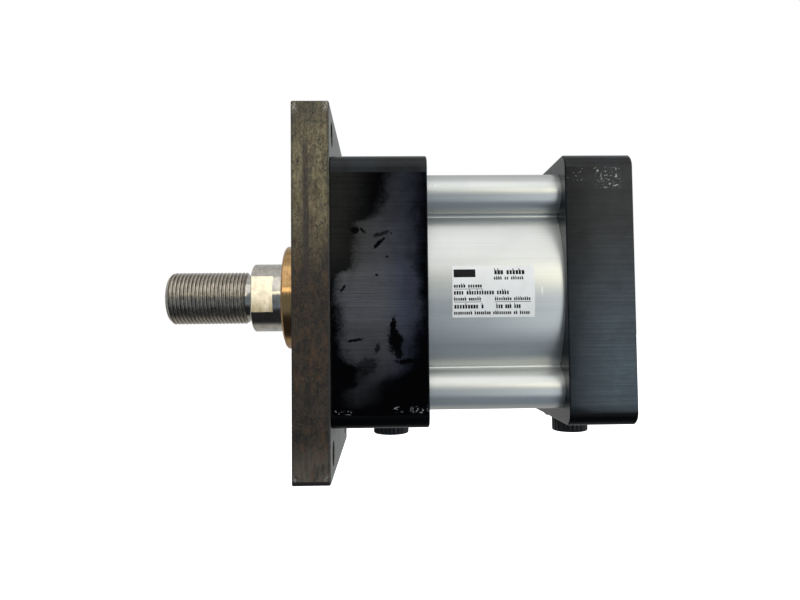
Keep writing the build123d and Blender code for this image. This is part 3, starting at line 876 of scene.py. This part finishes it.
def build_label(paper, ink):
    """Label sheet with a solid block for the mark and rows of blocks that spell nothing."""
    plate = curved_plate(label_left, label_right, label_bottom, label_top, label_inner, label_outer, rows=24)
    piece = new_piece("label_sheet", *plate, paper, "housing", "label_film", sharp_angle=30.0)
    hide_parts("rating_label")

    width, height = label_right - label_left, label_top - label_bottom
    source = random.Random(7)
    points, faces = [], []

    def bar(left, right, low, high):
        """Printed block, in shares of the label's width and height from its upper left corner."""
        block = curved_plate(
            label_left + left * width,
            label_left + right * width,
            label_top - high * height,
            label_top - low * height,
            label_outer - 0.005,
            ink_outer,
            rows=4,
        )
        base = len(points)
        points.extend(block[0])
        faces.extend(tuple(base + index for index in face) for face in block[1])

    def greeked(left, right, low, high, words, weight, underline=False):
        """A row of blocks grouped like words, some with a stub on top, with no lettering.

        words has the number of blocks in each word, and weight is a block's share of its step.
        """
        step = (right - left) / (sum(words) + len(words) - 1)
        body = low + (high - low) * 0.30
        place = left
        for word in words:
            for _ in range(word):
                wide = step * weight * source.uniform(0.85, 1.08)
                bar(place, place + wide, body, high)
                if source.random() < 0.3:
                    bar(place, place + wide * 0.4, low, body)
                place += step
            place += step
        if underline:
            bar(left, right, high + 0.022, high + 0.032)

    bar(0.020, 0.283, 0.070, 0.223)
    greeked(0.514, 0.883, 0.057, 0.172, (3, 6), 0.86)
    greeked(0.506, 0.870, 0.197, 0.274, (4, 2, 6), 0.66)
    greeked(0.020, 0.364, 0.344, 0.425, (5, 6), 0.72, underline=True)
    greeked(0.020, 0.692, 0.459, 0.560, (4, 11, 5), 0.72)
    greeked(0.020, 0.352, 0.600, 0.675, (6, 6), 0.72, underline=True)
    greeked(0.514, 0.951, 0.600, 0.675, (8, 8), 0.72, underline=True)
    greeked(0.024, 0.385, 0.726, 0.828, (9, 1), 0.74)
    greeked(0.530, 0.830, 0.726, 0.828, (3, 3, 3), 0.76)
    greeked(0.020, 0.943, 0.866, 0.943, (9, 8, 9, 2, 5), 0.72)
    new_piece("label_print", points, faces, ink, "housing", "label_film", sharp_angle=30.0)


# ---------------------------------------------------------------- materials onto the frame
bronze = turned_metal(
    "bearing_bronze", linear(190, 154, 106), linear(160, 126, 84), 0.10, 0.30, linear(98, 73, 50), 0.5
)
dark_steel = turned_metal("black_oxide", linear(74, 74, 78), linear(50, 50, 54), 0.34, 0.4)
drawn_steel = turned_metal("drawn_steel", linear(176, 176, 178), linear(150, 150, 152), 0.28, 0.5)
bright_aluminium = turned_metal("turned_aluminium", linear(214, 216, 219), linear(190, 192, 196), 0.25, 0.35)
guide_plastic = moulded_black("guide_plastic", 0.45)
rubber = seal_rubber("seal_rubber")
plug_plastic = moulded_black("plug_plastic", 0.38)

finishes = {
    "mounting_flange": raw_steel("raw_steel"),
    "head": black_anodised("head_black", 0.0, head_veil, head_tint, head_sheen_gaps, head_nicks, head_top_band),
    "cap": black_anodised("cap_black", 31.0, cap_veil, cap_tint, (), cap_nicks, cap_top_band),
    "barrel": clear_anodised("clear_anodised"),
    "rod_gland": bronze,
    "tie_rods": drawn_steel,
    "tie_rod_nuts_front": dark_steel,
    "tie_rod_nuts_rear": dark_steel,
    "piston": bright_aluminium,
    "piston_nut": dark_steel,
    "piston_wear_band": guide_plastic,
}
for node in (
    "rod_wiper",
    "rod_seal",
    "gland_o_ring",
    "barrel_seal_front",
    "barrel_seal_rear",
    "rod_o_ring",
    "piston_seal_front",
    "piston_seal_rear",
):
    finishes[node] = rubber
for node, material in finishes.items():
    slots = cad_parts[node].material_slots
    for index in range(len(slots)):
        slots[index].material = material

build_rod(rod_steel("rod_steel", relief_start, neck_start))
build_plug("head_plug_moulded", "head_port_plug", "head_plug", plug_plastic)
build_plug("cap_plug_moulded", "cap_port_plug", "cap_plug", plug_plastic)
build_label(label_paper("label_paper"), label_ink("label_ink"))


# ---------------------------------------------------------------- floor, light and camera
def build_floor():
    """Large pale floor, just below where the pulled port plugs reach. It isn't mirrored in the metal."""
    half = 6.0
    plug_travel = 30.0
    clearance = 3.0
    mesh = bpy.data.meshes.new("floor")
    z = (span("head_port_plug")[0].z - plug_travel - clearance) * MM
    corners = [(-half, -half, z), (half, -half, z), (half, half, z), (-half, half, z)]
    mesh.from_pydata(corners, [], [(0, 1, 2, 3)])
    floor = bpy.data.objects.new("floor", mesh)
    bpy.context.scene.collection.objects.link(floor)
    skin = Surface("floor_paper", Specular_IOR_Level=0.0)
    tone = skin.noise(120.0, detail=2.0)
    skin.colour(skin.mix(tone, (0.94, 0.94, 0.94, 1), (0.96, 0.96, 0.96, 1)))
    skin.shader.inputs["Roughness"].default_value = 1.0
    skin.shader.inputs["Emission Color"].default_value = (1, 1, 1, 1)
    skin.shader.inputs["Emission Strength"].default_value = 0.88
    mesh.materials.append(skin.material)
    floor.visible_glossy = False
    floor.visible_diffuse = False


def area_light(name, place, target, width, height, radiance, tint):
    """Softbox of a given brightness, aimed at a place on the object."""
    lamp = bpy.data.lights.new(name, "AREA")
    lamp.shape = "RECTANGLE"
    lamp.size = width
    lamp.size_y = height
    lamp.energy = radiance * math.pi * width * height
    lamp.color = tint
    lamp_object = bpy.data.objects.new(name, lamp)
    lamp_object.location = place
    aim = Vector(target) - Vector(place)
    lamp_object.rotation_euler = aim.to_track_quat("-Z", "Y").to_euler()
    bpy.context.scene.collection.objects.link(lamp_object)


def build_world():
    """White to the camera. To light and reflections, a soft grey room, paler overhead and behind."""
    world = bpy.data.worlds.new("studio")
    world.use_nodes = True
    tree = world.node_tree
    background = tree.nodes["Background"]

    def mixed(factor, first, second):
        node = tree.nodes.new("ShaderNodeMix")
        node.data_type = "RGBA"
        tree.links.new(factor, node.inputs["Factor"])
        for index, value in ((6, first), (7, second)):
            if isinstance(value, tuple):
                node.inputs[index].default_value = (*value, 1.0)
            else:
                tree.links.new(value, node.inputs[index])
        return node.outputs[2]

    def rising(value, start, end):
        node = tree.nodes.new("ShaderNodeMapRange")
        node.interpolation_type = "SMOOTHSTEP"
        tree.links.new(value, node.inputs[0])
        node.inputs[1].default_value = start
        node.inputs[2].default_value = end
        return node.outputs["Result"]

    direction = tree.nodes.new("ShaderNodeTexCoord").outputs["Generated"]
    split = tree.nodes.new("ShaderNodeSeparateXYZ")
    tree.links.new(direction, split.inputs[0])
    front = mixed(rising(split.outputs["Z"], 0.0, 0.85), (0.255, 0.305, 0.365), (0.86, 0.87, 0.88))
    corner = tree.nodes.new("ShaderNodeMath")
    corner.operation = "MULTIPLY"
    tree.links.new(rising(split.outputs["X"], 0.02, -0.07), corner.inputs[0])
    tree.links.new(rising(split.outputs["Z"], -0.50, -0.72), corner.inputs[1])
    front = mixed(corner.outputs[0], front, (0.03, 0.03, 0.035))
    back = mixed(rising(split.outputs["Z"], -0.9, 0.8), (0.52, 0.52, 0.51), (0.66, 0.67, 0.68))
    room = mixed(rising(split.outputs["Y"], 0.05, 0.42), front, back)
    sight = tree.nodes.new("ShaderNodeLightPath").outputs["Is Camera Ray"]
    tree.links.new(mixed(sight, room, (1.0, 1.0, 1.0)), background.inputs["Color"])
    bpy.context.scene.world = world


def build_camera():
    """The photo's camera: a short lens about 0.3 m away, a little below the axis."""
    lens = bpy.data.cameras.new("camera")
    lens.sensor_width = 36.0
    lens.lens = 28.877
    lens.clip_start = 0.01
    camera = bpy.data.objects.new("camera", lens)
    camera.location = (0.03776, -0.32106, -0.01570)
    camera.rotation_euler = [math.radians(value) for value in (92.51, 0.599, -1.483)]
    bpy.context.scene.collection.objects.link(camera)
    bpy.context.scene.camera = camera


build_floor()
build_world()
area_light("key", (0.05, -0.90, 0.95), (0.05, 0, 0), 2.2, 1.15, 0.74, (1.0, 0.985, 0.95))
area_light("lamp", (-0.20, -0.98, 0.26), (-0.01, 0, 0), 0.24, 0.16, 2.7, (1.0, 0.90, 0.68))
area_light("right_lamp", (0.47, -0.94, 0.28), (0.11, -0.05, 0.01), 0.34, 0.34, 3.0, (1.0, 0.92, 0.69))
area_light("right", (0.64, -0.90, -0.30), (0.12, 0, 0), 0.7, 0.9, 1.15, (0.93, 0.97, 1.0))
build_camera()
bpy.context.scene.view_settings.view_transform = "Standard"
